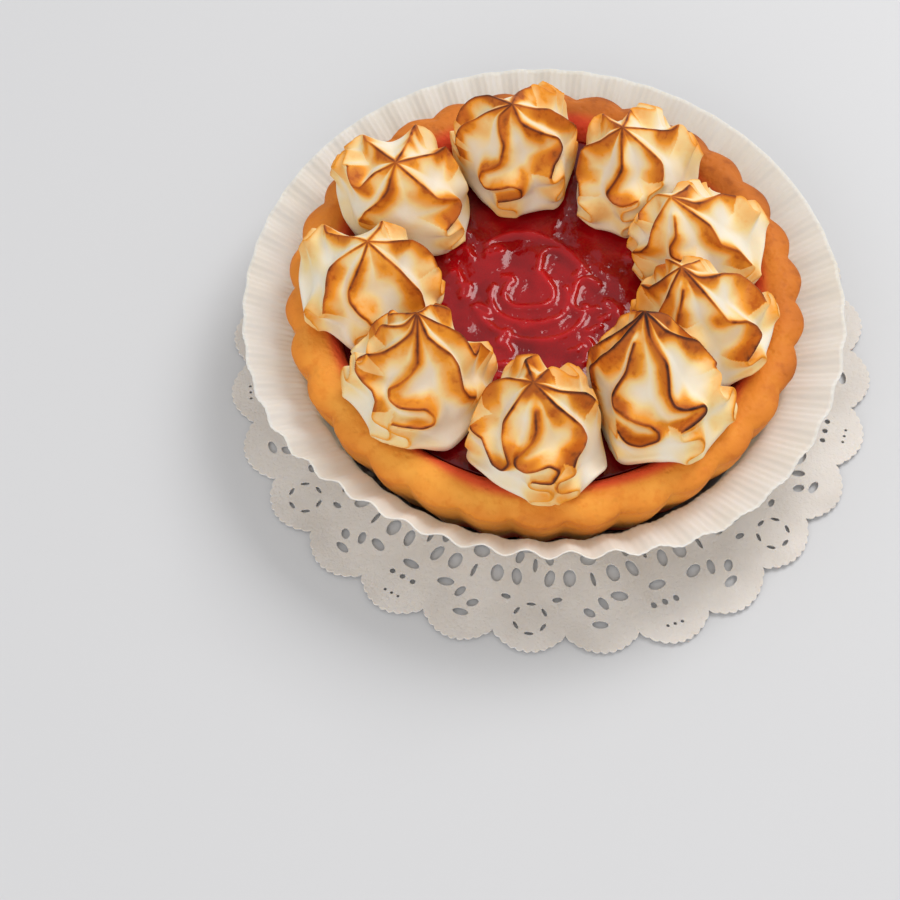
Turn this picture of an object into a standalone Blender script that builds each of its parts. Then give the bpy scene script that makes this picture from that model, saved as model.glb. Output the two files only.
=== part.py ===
"""Berry meringue tart in its pleated paper case, on a round lace paper doily.

The pastry shell is fluted and holds a berry filling. Nine piped, torched meringue rosettes
stand in a ring on the filling and lean on the shell's rim. Sizes are in metres, +Z is up, and
the origin is the centre of the doily's underside.
"""

import math

import bmesh
import bpy
from mathutils import Matrix, Vector

MM = 0.001
TAU = 2 * math.pi

# Gap that keeps two touching pieces apart
GAP = 0.3 * MM

# Lace doily: a flat sheet with a scalloped edge and a pierced border
DOILY_RADIUS = 64.0 * MM
DOILY_THICKNESS = 0.4 * MM
DOILY_SCALLOPS = 28
DOILY_TURN = math.radians(-91.8)
SCALLOP_DEPTH = 3.2 * MM
SCALLOP_POINTS = 5
PETAL_HOLE = {"ring": 50.5 * MM, "long": 2.3 * MM, "wide": 1.0 * MM, "sides": 6}
BORDER_HOLE = {"ring": 57.5 * MM, "long": 1.3 * MM, "wide": 1.5 * MM, "sides": 4}

# The tart and its case stand a little left of the doily's centre and behind it
TART_X = -1.65 * MM
TART_Y = 1.5 * MM

# Paper case: a flat round base and a pleated wall that follows the shell, then flares
PAPER_THICKNESS = 0.35 * MM
CASE_BASE_Z = DOILY_THICKNESS + GAP
CASE_BASE_RADIUS = 44.3 * MM
CASE_WALL_LENGTH = 23.6 * MM
CASE_KNEE = 0.46
CASE_LOW_SLOPE = math.radians(73.0)
CASE_FLARE_SLOPE = math.radians(39.0)
CASE_FRONT_RISE = math.radians(16.0)
CASE_FRONT_WIDTH = math.radians(34.0)
CASE_FRONT_ANGLE = math.radians(-95.0)
CASE_WALL_LEVELS = (0.0, 0.20, CASE_KNEE, 1.0)
CASE_BEND_END = 0.2
PLEATS = 42
PLEAT_COLUMNS = 4
PLEAT_AMPLITUDE = 0.7 * MM
PLEAT_LOW_SHARE = 0.45
PLEAT_FULL = 0.25

# Pastry shell
CRUST_BASE_Z = CASE_BASE_Z + PAPER_THICKNESS + GAP
CRUST_BASE_RADIUS = 43.4 * MM
CRUST_HEEL = 1.6 * MM
RIM_RADIUS = 50.0 * MM
RIM_EDGE_Z = 22.0 * MM
RIM_ROUND = 1.4 * MM
CROWN_RADIUS = 45.6 * MM
CROWN_Z = 23.9 * MM
BEVEL_RADIUS = 42.4 * MM
BEVEL_Z = 22.6 * MM
MOUTH_RADIUS = 40.2 * MM
MOUTH_Z = 19.6 * MM
THROAT_RADIUS = 38.6 * MM
THROAT_Z = 15.1 * MM
CAVITY_RADIUS = 34.0 * MM
CAVITY_FLOOR_Z = 6.6 * MM
FLUTES = 30
FLUTE_COLUMNS = 4
FLUTE_DEPTH = 1.5 * MM
FLUTE_FADE = 4.0 * MM
FLUTE_CROWN_RADIUS = 44.6 * MM
FLUTE_START_ANGLE = math.radians(157.3)

# Berry filling
FILLING_STEPS = 40
FILLING_RINGS = 8
FILLING_RING_WIDTH = 4.6 * MM
FILLING_SIDE_GAP = 0.5 * MM
FILLING_EDGE_RADIUS = 39.4 * MM
FILLING_EDGE_Z = 19.3 * MM
FILLING_DOME = 0.5 * MM
SWIRL_RADIUS = 17.0 * MM
SWIRL_HEIGHT = 0.7 * MM
SWIRL_FADE = 0.75
SWIRL_OFF_CENTRE = 4.0 * MM
SWIRL_PITCH = 3.4 * MM

# Meringue rosettes: centre x and y from the tart's centre, radius, lean of the peak in x and y,
# height of the peak above the rim's edge, all in millimetres, then the turn of the ridges in degrees
# and how broad the shoulders are
ROSETTES = (
    (-6.7, 32.0, 14.6, -1.5, -1.2, 19.5, 97, 3.4),
    (16.5, 28.0, 14.6, -3.3, -0.4, 18.0, 74, 2.9),
    (29.8, 12.4, 14.3, -7.0, 0.2, 16.5, 20, 2.8),
    (30.7, -7.2, 14.4, -6.2, 2.0, 19.5, -36, 2.7),
    (21.6, -24.4, 15.4, -3.8, 6.0, 24.0, -62, 2.4),
    (0.3, -32.6, 15.6, -1.7, 0.2, 21.0, -92, 3.0),
    (-22.0, -23.2, 15.2, -0.7, 2.8, 23.0, -92, 2.5),
    (-34.2, -1.0, 15.0, 0.8, -0.6, 17.5, -120, 2.9),
    (-28.6, 19.6, 15.0, -1.2, -1.6, 16.0, 150, 3.8),
)
RIDGES = 8
RIDGE_COLUMNS = 4
RIDGE_DEPTH = 0.22
RIDGE_SHARPNESS = 1.3
FOLD_SWING = 0.36
FOLD_UNEVENNESS = 0.25
FOLD_FILL = 0.4
FOLD_PITCH = 0.24
FOLD_TOP = 0.62
FOLD_FULL = 0.50
ROSETTE_LEVELS = (0.0, 0.08, 0.20, 0.32, 0.44, 0.56, 0.68, 0.80, 0.91, 1.0)
ROSETTE_ROUNDING = 1.1
ROSETTE_TUCK = 0.14
ROSETTE_TUCK_TOP = 0.16
ROSETTE_UNDERSIDE = 0.55
LEAN_POWER = 1.5
SQUEEZE_START = 0.78
SEAT_FOOT_RADIUS = 37.8 * MM
SEAT_TOP_RADIUS = 43.4 * MM

# Colour, roughness and metallic value of each material
FINISHES = {
    "pastry": ((0.72, 0.33, 0.07), 0.62, 0.0),
    "berry": ((0.32, 0.008, 0.012), 0.12, 0.0),
    "meringue": ((0.88, 0.74, 0.52), 0.5, 0.0),
    "case_paper": ((0.80, 0.75, 0.68), 0.8, 0.0),
    "doily_paper": ((0.84, 0.82, 0.78), 0.85, 0.0),
}


def clear_scene():
    """Removes every object that the scene starts with."""
    for old in list(bpy.data.objects):
        bpy.data.objects.remove(old)


def material(name):
    """The Principled material of that finish, made once."""
    found = bpy.data.materials.get(name)
    if found:
        return found
    colour, roughness, metallic = FINISHES[name]
    made = bpy.data.materials.new(name)
    made.use_nodes = True
    shader = made.node_tree.nodes["Principled BSDF"]
    shader.inputs["Base Color"].default_value = (*colour, 1.0)
    shader.inputs["Roughness"].default_value = roughness
    shader.inputs["Metallic"].default_value = metallic
    made.diffuse_color = (*colour, 1.0)
    return made


def smoothstep(low, high, value):
    """0 below low, 1 above high, and an S between them; low may be the larger one."""
    share = min(1.0, max(0.0, (value - low) / (high - low)))
    return share * share * (3 - 2 * share)


def turned(profile, steps):
    """A bmesh of the body that a profile of (radius, height) points sweeps round +Z.

    The profile starts and ends on the axis, underside first, so that the body is closed.
    """
    bm = bmesh.new()
    verts = [bm.verts.new((radius, 0, height)) for radius, height in profile]
    edges = [bm.edges.new(pair) for pair in zip(verts, verts[1:])]
    bmesh.ops.spin(
        bm, geom=verts + edges, cent=(0, 0, 0), axis=(0, 0, 1), angle=TAU, steps=steps, use_merge=True
    )
    bmesh.ops.remove_doubles(bm, verts=bm.verts[:], dist=1e-6)
    return bm


def add_object(name, bm, finish, parent, smooth_angle=None):
    """Writes the bmesh to a new object of that name and material, under the parent."""
    bmesh.ops.recalc_face_normals(bm, faces=bm.faces[:])
    if bm.calc_volume(signed=True) < 0:
        bmesh.ops.reverse_faces(bm, faces=bm.faces[:])
    mesh = bpy.data.meshes.new(name)
    bm.to_mesh(mesh)
    bm.free()
    mesh.materials.append(material(finish))
    if smooth_angle is not None:
        mesh.shade_smooth()
        mesh.set_sharp_from_angle(angle=math.radians(smooth_angle))
    obj = bpy.data.objects.new(name, mesh)
    bpy.context.scene.collection.objects.link(obj)
    obj.parent = parent
    return obj


def add_empty(name, x, y):
    """An empty that carries one group of pieces."""
    empty = bpy.data.objects.new(name, None)
    empty.location = (x, y, 0)
    bpy.context.scene.collection.objects.link(empty)
    return empty


# Lace doily


def scallop_outline():
    """The doily's edge: round-ended scallops, each an arch between two notches."""
    points = []
    for scallop in range(DOILY_SCALLOPS):
        for step in range(SCALLOP_POINTS):
            share = step / SCALLOP_POINTS - 0.5
            angle = DOILY_TURN + (scallop + share) * TAU / DOILY_SCALLOPS
            arch = math.sqrt(1 - (2 * share) ** 2)
            radius = DOILY_RADIUS - SCALLOP_DEPTH * (1 - arch)
            points.append((radius * math.cos(angle), radius * math.sin(angle)))
    return points


def pierced_hole(angle, hole):
    """The outline of one oval hole, long along the doily's radius."""
    along = Vector((math.cos(angle), math.sin(angle)))
    across = Vector((-along.y, along.x))
    points = []
    for side in range(hole["sides"]):
        turn = side * TAU / hole["sides"]
        offset = along * (hole["long"] * math.cos(turn)) + across * (hole["wide"] * math.sin(turn))
        points.append(tuple(along * hole["ring"] + offset))
    return points


def build_doily(parent):
    """The flat lace sheet: its outline and holes are filled, then thickened upwards."""
    outlines = [scallop_outline()]
    for scallop in range(DOILY_SCALLOPS):
        middle = DOILY_TURN + scallop * TAU / DOILY_SCALLOPS
        outlines.append(pierced_hole(middle, BORDER_HOLE))
        outlines.append(pierced_hole(middle + TAU / DOILY_SCALLOPS / 2, PETAL_HOLE))
    bm = bmesh.new()
    for outline in outlines:
        verts = [bm.verts.new((x, y, 0)) for x, y in outline]
        for start, end in zip(verts, verts[1:] + verts[:1]):
            bm.edges.new((start, end))
    bmesh.ops.triangle_fill(bm, use_beauty=True, edges=bm.edges[:])
    raised = bmesh.ops.extrude_face_region(bm, geom=bm.faces[:])["geom"]
    top = [item for item in raised if isinstance(item, bmesh.types.BMVert)]
    bmesh.ops.translate(bm, vec=(0, 0, DOILY_THICKNESS), verts=top)
    add_object("lace_doily", bm, "doily_paper", parent)


# Paper case


def flare_slope(angle):
    """Slope of the wall's flared part above level: steeper at the front, where it hugs the tart."""
    away = math.remainder(angle - CASE_FRONT_ANGLE, TAU) / CASE_FRONT_WIDTH
    return CASE_FLARE_SLOPE + CASE_FRONT_RISE * math.exp(-away * away)


def pleated(point):
    """A point of the case's round body, moved onto the wall: up beside the shell, then out."""
    radius = math.hypot(point.x, point.y)
    if radius < CASE_BASE_RADIUS - MM:
        return point
    angle = math.atan2(point.y, point.x)
    up = (radius - CASE_BASE_RADIUS) / CASE_WALL_LENGTH
    flare = flare_slope(angle)
    low = min(up, CASE_KNEE) * CASE_WALL_LENGTH
    free = max(up - CASE_KNEE, 0.0) * CASE_WALL_LENGTH
    slope = CASE_LOW_SLOPE + (flare - CASE_LOW_SLOPE) * smoothstep(0.0, 2 * CASE_KNEE, up)
    size = PLEAT_LOW_SHARE + (1 - PLEAT_LOW_SHARE) * up
    swell = PLEAT_AMPLITUDE * size * math.cos(PLEATS * angle) * smoothstep(0.0, PLEAT_FULL, up)
    lift = point.z - CASE_BASE_Z - swell
    bent = smoothstep(0.0, CASE_BEND_END, up)
    out = CASE_BASE_RADIUS + low * math.cos(CASE_LOW_SLOPE) + free * math.cos(flare)
    height = CASE_BASE_Z + low * math.sin(CASE_LOW_SLOPE) + free * math.sin(flare)
    out -= lift * math.sin(slope) * bent
    height += lift * (1 - (1 - math.cos(slope)) * bent)
    return Vector((out * math.cos(angle), out * math.sin(angle), height))


def build_case(parent):
    """The pleated paper case, spun as a flat disc whose border is then folded up."""
    radii = [CASE_BASE_RADIUS + level * CASE_WALL_LENGTH for level in CASE_WALL_LEVELS]
    low, high = CASE_BASE_Z, CASE_BASE_Z + PAPER_THICKNESS
    profile = [(0, low)] + [(radius, low) for radius in radii]
    profile += [(radius, high) for radius in reversed(radii)] + [(0, high)]
    bm = turned(profile, PLEATS * PLEAT_COLUMNS)
    for vert in bm.verts:
        vert.co = pleated(vert.co)
    add_object("paper_case", bm, "case_paper", parent)


# Pastry shell


def crust_profile():
    """Half section of the shell, from the middle of its underside out, up and down into the cavity."""
    return [
        (0, CRUST_BASE_Z),
        (CRUST_BASE_RADIUS - CRUST_HEEL, CRUST_BASE_Z),
        (CRUST_BASE_RADIUS, CRUST_BASE_Z + CRUST_HEEL),
        (RIM_RADIUS - GAP, RIM_EDGE_Z - RIM_ROUND),
        (RIM_RADIUS, RIM_EDGE_Z),
        (RIM_RADIUS - RIM_ROUND, RIM_EDGE_Z + RIM_ROUND),
        (CROWN_RADIUS, CROWN_Z),
        (BEVEL_RADIUS, BEVEL_Z),
        (MOUTH_RADIUS, MOUTH_Z),
        (THROAT_RADIUS, THROAT_Z),
        (CAVITY_RADIUS, CAVITY_FLOOR_Z),
        (0, CAVITY_FLOOR_Z),
    ]


def fluted(point):
    """A point of the round shell, with its outer side drawn in between the flutes."""
    radius = math.hypot(point.x, point.y)
    angle = math.atan2(point.y, point.x)
    foot = CRUST_BASE_RADIUS - FLUTE_FADE
    wall_middle = foot + (FLUTE_CROWN_RADIUS - foot) * point.z / RIM_EDGE_Z
    outside = smoothstep(wall_middle, wall_middle + FLUTE_FADE, radius)
    arch = abs(math.sin(FLUTES * (angle - FLUTE_START_ANGLE) / 2))
    shrink = 1 - FLUTE_DEPTH * outside * (1 - arch) / max(radius, MM)
    return Vector((point.x * shrink, point.y * shrink, point.z))


def build_crust(parent):
    """The pastry shell, turned and then fluted."""
    bm = turned(crust_profile(), FLUTES * FLUTE_COLUMNS)
    bm.transform(Matrix.Rotation(FLUTE_START_ANGLE, 4, "Z"))
    for vert in bm.verts:
        vert.co = fluted(vert.co)
    add_object("crust", bm, "pastry", parent, smooth_angle=50)


# Berry filling


def filling_level(radius):
    """Height of the filling's surface without its swirl: a low dome."""
    return FILLING_EDGE_Z + FILLING_DOME * (1 - (radius / MOUTH_RADIUS) ** 2)


def filling_top(x, y):
    """Height of the filling's surface, which is swirled in the middle."""
    radius = math.hypot(x, y)
    inner = 1 - smoothstep(SWIRL_FADE, 1.0, radius / SWIRL_RADIUS)
    turn = math.atan2(y + SWIRL_OFF_CENTRE, x) + radius / SWIRL_PITCH
    return filling_level(radius) + SWIRL_HEIGHT * inner * math.sin(turn)


def build_filling(parent):
    """The filling: it fills the shell's cavity up to its swirled surface."""
    rings = [FILLING_EDGE_RADIUS - ring * FILLING_RING_WIDTH for ring in range(FILLING_RINGS)]
    profile = [
        (0, CAVITY_FLOOR_Z + GAP),
        (CAVITY_RADIUS - FILLING_SIDE_GAP, CAVITY_FLOOR_Z + GAP),
        (THROAT_RADIUS - FILLING_SIDE_GAP, THROAT_Z),
    ]
    profile += [(radius, FILLING_EDGE_Z) for radius in rings] + [(0, FILLING_EDGE_Z)]
    bm = turned(profile, FILLING_STEPS)
    for vert in bm.verts:
        if vert.co.z > THROAT_Z + MM:
            vert.co.z = filling_top(vert.co.x, vert.co.y)
    add_object("berry_filling", bm, "berry", parent, smooth_angle=60)


# Meringue rosettes


def seat_height(x, y):
    """Height of what carries the meringue: the filling, then the rim's inner slope and crown."""
    radius = math.hypot(x, y)
    slope = smoothstep(SEAT_FOOT_RADIUS, SEAT_TOP_RADIUS, radius)
    level = filling_level(radius) + GAP
    return level + (CROWN_Z + GAP - level) * slope


def rosette_girth(level, breadth):
    """Share of a rosette's radius at a level from 0, its base, to 1, its peak."""
    tuck = ROSETTE_TUCK * max(0.0, 1 - level / ROSETTE_TUCK_TOP) ** 2
    return (1 - level**breadth) ** ROSETTE_ROUNDING * (1 - tuck)


def fold_turn(level, angle):
    """How far the ridges swing sideways at a level: in folds near the base, not at all near the peak."""
    strength = smoothstep(FOLD_TOP, FOLD_FULL, level)
    strength *= 1 - FOLD_UNEVENNESS + FOLD_UNEVENNESS * math.cos(2 * angle)
    return -FOLD_SWING * strength * math.cos(TAU * (level - FOLD_FULL) / FOLD_PITCH + math.pi)


def squeezed(x, y, centre, others):
    """A point beside a neighbouring rosette, pressed back to its own side of the plane between them."""
    point = Vector((x, y))
    for other in others:
        towards = other - centre
        half = towards.length / 2 - GAP
        towards.normalize()
        reach = (point - centre).dot(towards)
        start = SQUEEZE_START * half
        if reach > start:
            room = half - start
            pressed = start + room * (1 - math.exp(-(reach - start) / room))
            point += towards * (pressed - reach)
    return point


def build_rosette(number, centre, others, parent):
    """One rosette: a turned mound, ridged, folded, leant and pressed against its neighbours."""
    _, _, radius, lean_x, lean_y, peak, ridge_turn, breadth = ROSETTES[number]
    radius *= MM
    rows = [(0, -1), (ROSETTE_UNDERSIDE * radius, -1)]
    rows += [(radius * rosette_girth(level, breadth), level) for level in ROSETTE_LEVELS]
    bm = turned(rows, RIDGES * RIDGE_COLUMNS)
    turn_start = math.radians(ridge_turn)
    for vert in bm.verts:
        level = max(0.0, vert.co.z)
        angle = math.atan2(vert.co.y, vert.co.x)
        share = abs(math.remainder(angle * RIDGES, TAU)) / math.pi
        ridge = (1 - share) ** RIDGE_SHARPNESS
        out = math.hypot(vert.co.x, vert.co.y)
        folding = smoothstep(FOLD_TOP, FOLD_FULL, level)
        out *= 1 - RIDGE_DEPTH * (1 - FOLD_FILL * folding) * (1 - ridge)
        heading = angle + turn_start + fold_turn(level, angle)
        x = centre.x + out * math.cos(heading) + lean_x * MM * level**LEAN_POWER
        y = centre.y + out * math.sin(heading) + lean_y * MM * level**LEAN_POWER
        pressed = squeezed(x, y, centre, others)
        seat = seat_height(pressed.x, pressed.y)
        top = RIM_EDGE_Z + peak * MM
        vert.co = (pressed.x, pressed.y, seat + (top - seat) * level)
    add_object(f"rosette_{number + 1}", bm, "meringue", parent, smooth_angle=40)


def build_rosettes(parent):
    """The ring of rosettes, each pressed by the two beside it."""
    centres = [Vector((row[0] * MM, row[1] * MM)) for row in ROSETTES]
    for number, centre in enumerate(centres):
        others = (centres[number - 1], centres[(number + 1) % len(centres)])
        build_rosette(number, centre, others, parent)


def main():
    """Builds the doily, then the case, shell, filling and meringue that stand on it."""
    clear_scene()
    setting = add_empty("setting", 0, 0)
    tart = add_empty("tart", TART_X, TART_Y)
    build_doily(setting)
    build_case(tart)
    build_crust(tart)
    build_filling(tart)
    build_rosettes(tart)


main()
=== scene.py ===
"""Dresses the berry meringue tart: baked pastry, berry jelly, torched meringue, pleated case and lace doily.

Lengths are in metres and written as millimetres times MM. +Z is up, and the origin is the centre of
the doily's underside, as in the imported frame.
"""

import logging
import math
from collections.abc import Iterable
from dataclasses import dataclass
from enum import Enum

import bmesh
import bpy
import numpy as np
from mathutils import Matrix, Vector, kdtree, noise

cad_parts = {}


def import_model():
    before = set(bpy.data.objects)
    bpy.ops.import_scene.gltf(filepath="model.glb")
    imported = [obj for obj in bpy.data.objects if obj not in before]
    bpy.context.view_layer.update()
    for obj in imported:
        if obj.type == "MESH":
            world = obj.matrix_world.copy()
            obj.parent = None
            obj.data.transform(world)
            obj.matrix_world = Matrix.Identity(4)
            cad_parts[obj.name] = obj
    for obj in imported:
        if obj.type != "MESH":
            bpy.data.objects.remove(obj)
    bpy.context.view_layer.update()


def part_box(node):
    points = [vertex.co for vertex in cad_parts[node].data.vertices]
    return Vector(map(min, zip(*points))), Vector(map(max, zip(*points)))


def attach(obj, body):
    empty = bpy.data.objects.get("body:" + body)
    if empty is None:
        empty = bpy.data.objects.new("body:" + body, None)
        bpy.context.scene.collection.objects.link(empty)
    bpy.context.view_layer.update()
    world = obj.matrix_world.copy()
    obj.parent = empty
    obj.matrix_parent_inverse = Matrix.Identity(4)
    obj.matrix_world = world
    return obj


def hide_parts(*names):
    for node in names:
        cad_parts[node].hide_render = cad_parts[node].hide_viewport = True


log = logging.getLogger("berry_tart")

MM = 0.001
TAU = 2 * math.pi
ROOT_BODY = "root"
SPAN_POINTS = 24

Colour = tuple[float, float, float]
Layers = tuple[tuple[float, float, float], ...]
Legs = tuple[tuple[float, float], ...]
Socket = bpy.types.NodeSocket


class Slot(Enum):
    """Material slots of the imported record."""

    PASTRY = "pastry"
    BERRY = "berry"
    MERINGUE = "meringue"
    CASE_PAPER = "case_paper"
    DOILY_PAPER = "doily_paper"


class Noise(Enum):
    """Kinds of procedural pattern that a height or a mask is made from."""

    CLOUDS = "ShaderNodeTexNoise"
    CELLS = "ShaderNodeTexVoronoi"


# Shapes and numbers that several pieces use


def smoothstep(low: float, high: float, value: np.ndarray | float) -> np.ndarray:
    """0 below low, 1 above high and an S between them.

    Args:
        low: Value at which the step starts; it may be the larger one.
        high: Value at which the step is complete.
        value: One number or an array.

    Returns:
        The step's height, from 0 to 1, for each value.
    """
    share = np.clip((np.asarray(value, float) - low) / (high - low), 0.0, 1.0)
    return share * share * (3 - 2 * share)


def clouds(points: np.ndarray, size: float, seed: float) -> np.ndarray:
    """Smooth noise from about -1 to 1.

    Args:
        points: Rows of x, y and z.
        size: Width of a lump of the noise, in the points' unit.
        seed: Moves the sample, so that each seed gives another pattern.

    Returns:
        One value for each row.
    """
    offset = Vector((seed * 17.3, seed * 5.9, seed * 11.1))
    return np.array([noise.noise(Vector(row) / size + offset) for row in points.tolist()])


def on_circle(angle: np.ndarray, seed: float, lumps: float) -> np.ndarray:
    """Noise that closes on itself round a circle.

    Args:
        angle: Headings in radians.
        seed: Picks the pattern.
        lumps: About how many lumps there are round the circle.

    Returns:
        One value from about -1 to 1 for each heading.
    """
    reach = lumps / math.pi / 2
    ring = np.stack([np.cos(angle) * reach, np.sin(angle) * reach, np.full_like(angle, seed)], axis=1)
    return clouds(ring, 1.0, seed)


def layered(points: np.ndarray, layers: Layers) -> np.ndarray:
    """Adds up noise of several sizes.

    Args:
        points: Rows of x, y and z.
        layers: Strength, lump size and seed of each noise.

    Returns:
        One value for each row.
    """
    return sum(strength * clouds(points, size, seed) for strength, size, seed in layers)


def polar(points: np.ndarray) -> tuple[np.ndarray, np.ndarray]:
    """Each point's distance from the Z axis and its heading in radians."""
    return np.hypot(points[:, 0], points[:, 1]), np.arctan2(points[:, 1], points[:, 0])


def turn_from(start: float, angle: np.ndarray) -> np.ndarray:
    """How far each heading is turned from another, from -pi to pi."""
    return (angle - start + math.pi) % TAU - math.pi


def evenly(curve: np.ndarray, samples: int) -> np.ndarray:
    """Spaces points evenly along a curve.

    Args:
        curve: Rows of two coordinates, close together.
        samples: How many points the result has.

    Returns:
        Rows of two coordinates.
    """
    travelled = np.concatenate([[0], np.cumsum(np.hypot(*np.diff(curve, axis=0).T))])
    even = np.linspace(0, travelled[-1], samples)
    return np.stack([np.interp(even, travelled, curve[:, axis]) for axis in (0, 1)], axis=1)


def smooth_curve(points: Iterable[tuple[float, float]], samples: int) -> np.ndarray:
    """A Catmull-Rom curve through a few points, with its samples evenly spaced along it.

    Args:
        points: The curve's own points.
        samples: How many points the result has.

    Returns:
        Rows of two coordinates.
    """
    knots = np.array(list(points), float)
    ends = np.concatenate([[2 * knots[0] - knots[1]], knots, [2 * knots[-1] - knots[-2]]])
    fine = []
    for a, b, c, d in zip(ends, ends[1:], ends[2:], ends[3:]):
        t = np.linspace(0, 1, SPAN_POINTS, endpoint=False)[:, None]
        fine.append(
            0.5 * (2 * b + (c - a) * t + (2 * a - 5 * b + 4 * c - d) * t**2 + (3 * b - 3 * c + d - a) * t**3)
        )
    return evenly(np.concatenate([*fine, knots[-1:]]), samples)


def tree_of(rows: list[list[float]]) -> kdtree.KDTree:
    """Sorts points, so that the one nearest to any place is found fast.

    Args:
        rows: Lists of x, y and z.

    Returns:
        The tree, which gives a row's number and its distance.
    """
    tree = kdtree.KDTree(len(rows))
    for index, row in enumerate(rows):
        tree.insert(row, index)
    tree.balance()
    return tree


def turned(profile: Iterable[tuple[float, float]], steps: int) -> bmesh.types.BMesh:
    """A closed body that a profile sweeps round +Z.

    Args:
        profile: Points of radius and height, from the middle of the underside round to the axis again.
        steps: Number of faces round the body.

    Returns:
        A new bmesh.
    """
    bm = bmesh.new()
    verts = [bm.verts.new((radius, 0, height)) for radius, height in profile]
    edges = [bm.edges.new(pair) for pair in zip(verts, verts[1:])]
    bmesh.ops.spin(
        bm, geom=verts + edges, cent=(0, 0, 0), axis=(0, 0, 1), angle=TAU, steps=steps, use_merge=True
    )
    bmesh.ops.remove_doubles(bm, verts=bm.verts[:], dist=1e-7)
    return bm


def mesh_of(name: str, bm: bmesh.types.BMesh) -> bpy.types.Mesh:
    """Writes a closed bmesh to a new mesh with its faces pointing outwards.

    Args:
        name: Name of the mesh.
        bm: The bmesh, which is freed.

    Returns:
        The mesh, shaded smooth.
    """
    bmesh.ops.recalc_face_normals(bm, faces=bm.faces[:])
    if bm.calc_volume(signed=True) < 0:
        bmesh.ops.reverse_faces(bm, faces=bm.faces[:])
    mesh = bpy.data.meshes.new(name)
    bm.to_mesh(mesh)
    bm.free()
    mesh.shade_smooth()
    return mesh


def vertex_rows(mesh: bpy.types.Mesh, name: str) -> np.ndarray:
    """Reads one vector of every vertex.

    Args:
        mesh: The mesh.
        name: Which vector, co or normal.

    Returns:
        Rows of x, y and z.
    """
    flat = np.empty(len(mesh.vertices) * 3)
    mesh.vertices.foreach_get(name, flat)
    return flat.reshape(-1, 3)


def points_of(mesh: bpy.types.Mesh) -> np.ndarray:
    """The mesh's vertices, as rows of x, y and z."""
    return vertex_rows(mesh, "co")


def normals_of(mesh: bpy.types.Mesh) -> np.ndarray:
    """The mesh's vertex normals, as rows of x, y and z."""
    return vertex_rows(mesh, "normal")


def move_points(mesh: bpy.types.Mesh, points: np.ndarray) -> None:
    """Gives the mesh's vertices new places.

    Args:
        mesh: The mesh to change.
        points: One row for each vertex.
    """
    mesh.vertices.foreach_set("co", points.ravel())
    mesh.update()


def softened(mesh: bpy.types.Mesh, points: np.ndarray, share: np.ndarray, rounds: int) -> np.ndarray:
    """Draws points towards the middle of their neighbours.

    Args:
        mesh: The mesh whose edges say which points are neighbours.
        points: Its points.
        share: How far each point moves each round, from 0 to 1.
        rounds: How many times they move.

    Returns:
        The moved points.
    """
    ends = np.empty(len(mesh.edges) * 2, np.int64)
    mesh.edges.foreach_get("vertices", ends)
    first, second = ends.reshape(-1, 2).T
    count = len(points)
    neighbours = np.bincount(ends, minlength=count)
    for _ in range(rounds):
        total = [
            np.bincount(first, points[second, axis], count) + np.bincount(second, points[first, axis], count)
            for axis in range(points.shape[1])
        ]
        points = points + (np.stack(total, axis=1) / neighbours[:, None] - points) * share[:, None]
    return points


def paint(mesh: bpy.types.Mesh, name: str, values: np.ndarray) -> None:
    """Stores one number for each vertex, for a material to read.

    Args:
        mesh: The mesh to paint.
        name: Name of the attribute.
        values: One number for each vertex.
    """
    layer = mesh.attributes.new(name, "FLOAT", "POINT")
    layer.data.foreach_set("value", values.astype(np.float32))


def new_object(name: str, data: bpy.types.ID) -> bpy.types.Object:
    """Makes an object and links it to the scene.

    Args:
        name: Name of the object.
        data: Its mesh, light or camera.

    Returns:
        The object.
    """
    made = bpy.data.objects.new(name, data)
    bpy.context.scene.collection.objects.link(made)
    return made


def place(name: str, mesh: bpy.types.Mesh, material: bpy.types.Material) -> bpy.types.Object:
    """Puts a finished mesh in the scene in place of its CAD node.

    Args:
        name: Name of the CAD node, which the piece's name starts with.
        mesh: The finished mesh, in the frame's own coordinates.
        material: The finish.

    Returns:
        The new object.
    """
    mesh.materials.append(material)
    piece = new_object(f"{name}_look", mesh)
    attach(piece, ROOT_BODY)
    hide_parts(name)
    log.info("%s: %d faces", piece.name, len(mesh.polygons))
    return piece


# Shader node groups that several finishes share


def new_group(name: str, inputs: dict[str, tuple[str, float]], output: str, kind: str) -> bpy.types.NodeTree:
    """A shader node group with a vector input, named numbers and one output.

    Args:
        name: Name of the group.
        inputs: Name of each further input, with its socket type and default.
        output: Name of the output.
        kind: Socket type of the output.

    Returns:
        The group, which holds its input and output nodes.
    """
    group = bpy.data.node_groups.new(name, "ShaderNodeTree")
    group.interface.new_socket("Vector", in_out="INPUT", socket_type="NodeSocketVector")
    for title, (socket_type, default) in inputs.items():
        socket = group.interface.new_socket(title, in_out="INPUT", socket_type=socket_type)
        socket.default_value = default
    group.interface.new_socket(output, in_out="OUTPUT", socket_type=kind)
    group.nodes.new("NodeGroupInput")
    group.nodes.new("NodeGroupOutput")
    return group


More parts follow.
